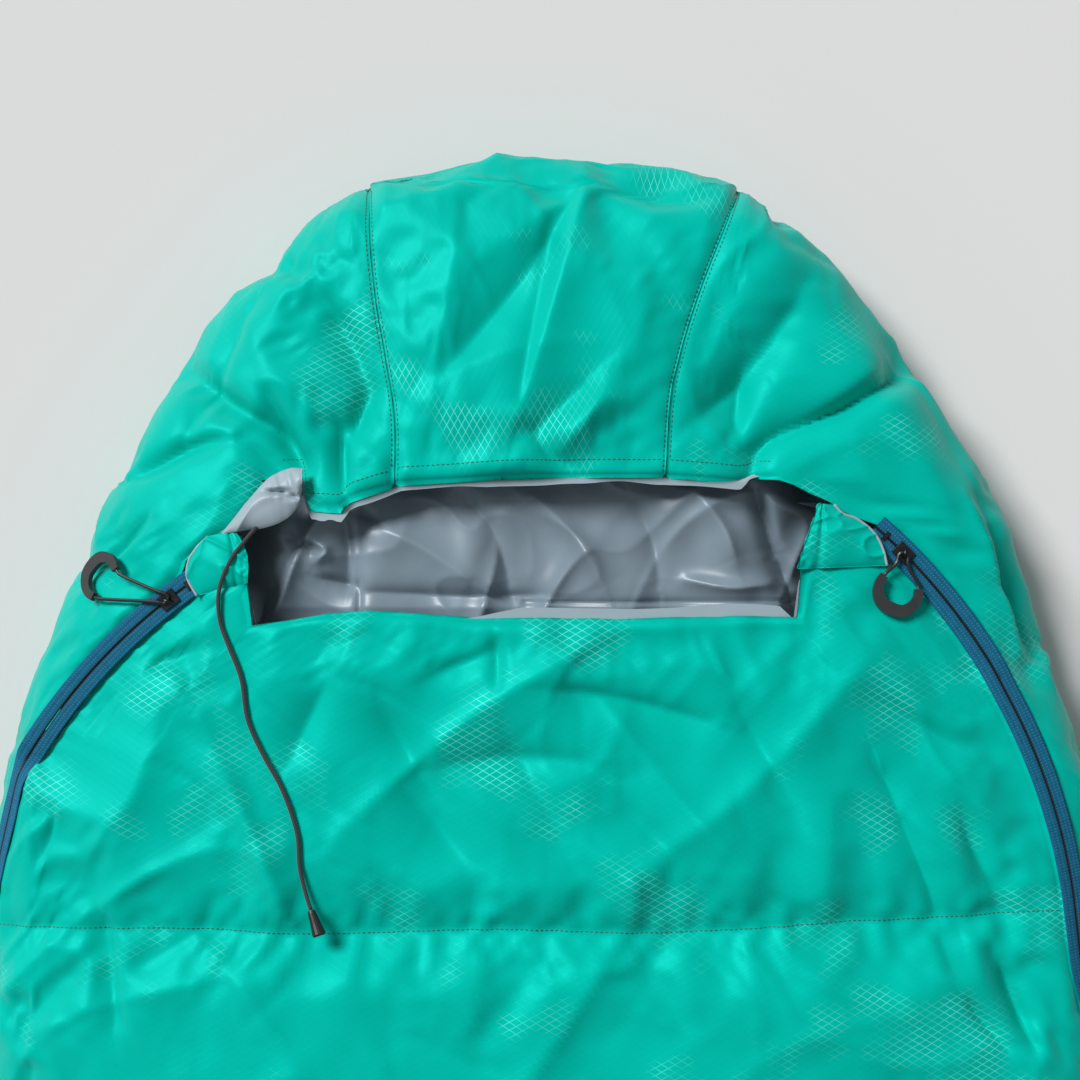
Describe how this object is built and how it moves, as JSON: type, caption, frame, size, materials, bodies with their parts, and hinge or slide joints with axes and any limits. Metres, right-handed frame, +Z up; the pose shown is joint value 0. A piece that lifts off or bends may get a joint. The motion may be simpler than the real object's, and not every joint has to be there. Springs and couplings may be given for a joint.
{
  "type": "mummy sleeping bag",
  "caption": "Insulated mummy sleeping bag lying flat, with a contoured hood, a face opening closed by a drawcord, curved side zips with cord pullers and a rounded foot end.",
  "frame": {"origin": "on the ground under the middle of the bag's length and width", "axes": "+Y towards the head end, +X towards the zip on the bag's right-hand side seen from above with the head up, +Z up through the top layer"},
  "size_m": [0.83, 2.099, 0.1343],
  "materials": {
    "shell_fabric": "satin ripstop weave with an embossed diamond lattice",
    "lining_fabric": "smooth satin taffeta",
    "insulation_fill": "lofty fibre batting",
    "zip_tape": "knitted tape with light dots",
    "zip_coil": "moulded monofilament",
    "grey_trim": "light grey facing and binding fabric",
    "black_metal": "black coated die cast zinc",
    "black_cord": "braided cord",
    "black_plastic": "moulded nylon",
    "grip_plastic": "soft-touch moulded pull",
    "spring_steel": "spring wire"
  },
  "bodies": {
    "bag": {"bottom_shell": "shell_fabric", "side_shell_left": "shell_fabric", "side_shell_right": "shell_fabric", "hood_shell_left": "shell_fabric", "hood_shell_centre": "shell_fabric", "hood_shell_right": "shell_fabric", "front_shell": "shell_fabric", "foot_shell": "shell_fabric", "left_neck_tab": "shell_fabric", "right_neck_tab": "shell_fabric", "back_lining": "lining_fabric", "side_lining_left": "lining_fabric", "side_lining_right": "lining_fabric", "hood_lining": "lining_fabric", "front_lining": "lining_fabric", "foot_lining": "lining_fabric", "left_draft_tube": "lining_fabric", "right_draft_tube": "lining_fabric", "back_insulation": "insulation_fill", "side_insulation_left": "insulation_fill", "side_insulation_right": "insulation_fill", "hood_insulation": "insulation_fill", "front_insulation": "insulation_fill", "foot_insulation": "insulation_fill", "hood_facing": "grey_trim", "hood_edge_binding": "grey_trim", "chest_lip_binding": "grey_trim", "left_tab_piping": "grey_trim", "right_tab_piping": "grey_trim", "left_zip_tape_outer": "zip_tape", "left_zip_coil_outer": "zip_coil", "left_zip_tape_inner": "zip_tape", "left_zip_coil_inner": "zip_coil", "left_zip_top_stop": "black_metal", "left_zip_foot_stop": "black_metal", "hang_loop_left": "black_cord", "right_zip_tape_outer": "zip_tape", "right_zip_coil_outer": "zip_coil", "right_zip_tape_inner": "zip_tape", "right_zip_coil_inner": "zip_coil", "right_zip_top_stop": "black_metal", "right_zip_foot_stop": "black_metal", "hang_loop_right": "black_cord", "hood_drawcord": "black_cord", "drawcord_tail": "black_cord", "cord_end": "black_plastic", "cord_lock_body": "black_plastic", "drawcord_eyelet": "black_metal", "cord_lock_spring": "spring_steel"},
    "left_slider": {"left_slider": "black_metal"},
    "right_slider": {"right_slider": "black_metal"},
    "left_puller": {"left_pull_grip": "grip_plastic", "left_pull_cord": "black_cord"},
    "right_puller": {"right_pull_grip": "grip_plastic", "right_pull_cord": "black_cord"},
    "lock_button": {"cord_lock_button": "black_plastic"}
  },
  "joints": [
    {"name": "left_slider_run", "type": "hinge", "parent": "bag", "child": "left_slider", "pos_m": [-0.008, 0.379, 0.09601], "axis": [-0.0836, -0.0891, 0.9925], "range_deg": [0, 18.5]},
    {"name": "right_slider_run", "type": "hinge", "parent": "bag", "child": "right_slider", "pos_m": [-0.053, 0.449, 0.103], "axis": [0.0353, -0.0432, 0.9984], "range_deg": [-12, 0]},
    {"name": "left_puller_swing", "type": "hinge", "parent": "left_slider", "child": "left_puller", "pos_m": [-0.2731, 0.7263, 0.10963], "axis": [0.2588, 0.9659, 0], "range_deg": [0, 150]},
    {"name": "right_puller_swing", "type": "hinge", "parent": "right_slider", "child": "right_puller", "pos_m": [0.25419, 0.7598, 0.11038], "axis": [-0.9848, 0.1736, 0], "range_deg": [0, 150]},
    {"name": "cord_lock_press", "type": "slide", "parent": "bag", "child": "lock_button", "axis": [-1, 0, 0], "range_m": [0, 0.002], "stiffness_N_per_m": 300, "deforming": ["cord_lock_spring"]}
  ]
}
